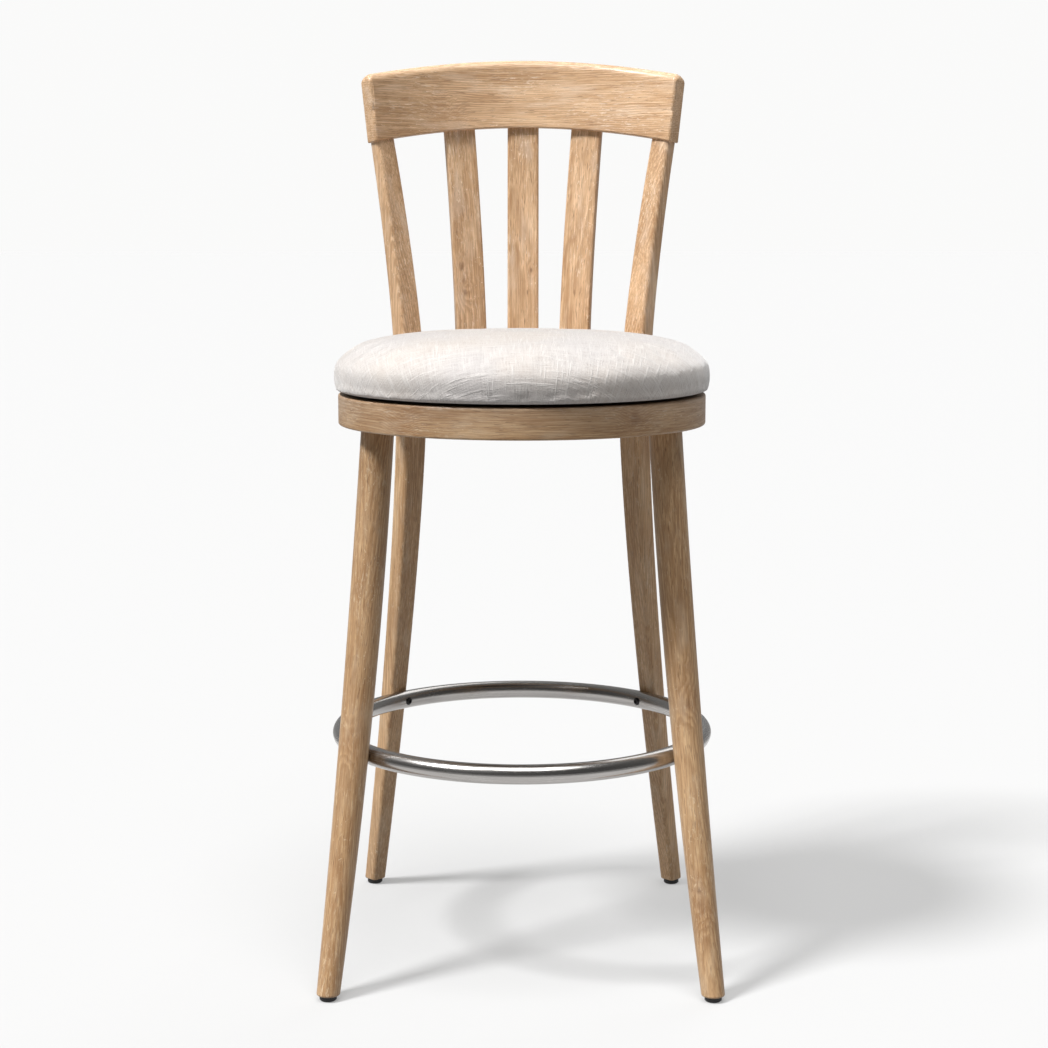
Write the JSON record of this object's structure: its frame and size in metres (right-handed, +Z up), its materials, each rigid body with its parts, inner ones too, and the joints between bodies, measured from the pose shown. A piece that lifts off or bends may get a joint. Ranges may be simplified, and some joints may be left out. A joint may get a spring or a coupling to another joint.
{
  "type": "bar stool",
  "caption": "Counter or bar height stool with a round upholstered seat, splayed oak legs, a slatted curved back and a round steel foot ring",
  "frame": {"origin": "on the floor, under the middle of the stool's bounding box", "axes": "+Z up; -Y is the front, the way the sitter faces; +X is the right-hand side for someone who stands in front and looks at the stool"},
  "size_m": [0.4646, 0.5054, 1.0825],
  "materials": {
    "oak": "satin",
    "plywood": "matte",
    "black_stained_wood": "matte",
    "linen": "matte",
    "foam": "matte",
    "black_cloth": "matte",
    "satin_steel": "satin",
    "fastener_steel": "satin",
    "insert_brass": "satin",
    "black_plastic": "matte"
  },
  "bodies": {
    "root": {"seat_ring": "oak", "front_leg_left": "oak", "front_leg_right": "oak", "rear_leg_left": "oak", "rear_leg_right": "oak", "back_slat_left": "oak", "back_slat_centre": "oak", "back_slat_right": "oak", "crest_rail": "oak", "footrest_ring": "satin_steel", "footrest_screws": "fastener_steel", "rear_leg_bolts": "fastener_steel", "rear_leg_washers": "fastener_steel", "rear_leg_inserts": "insert_brass", "seat_screws": "fastener_steel", "seat_tee_nuts": "fastener_steel", "spacer_ring": "black_stained_wood", "seat_board": "plywood", "seat_foam": "foam", "seat_cover": "linen", "cover_staples": "fastener_steel", "dust_cover": "black_cloth", "glide_front_left": "black_plastic", "glide_front_right": "black_plastic", "glide_rear_left": "black_plastic", "glide_rear_right": "black_plastic", "glide_nails": "fastener_steel"}
  },
  "joints": []
}
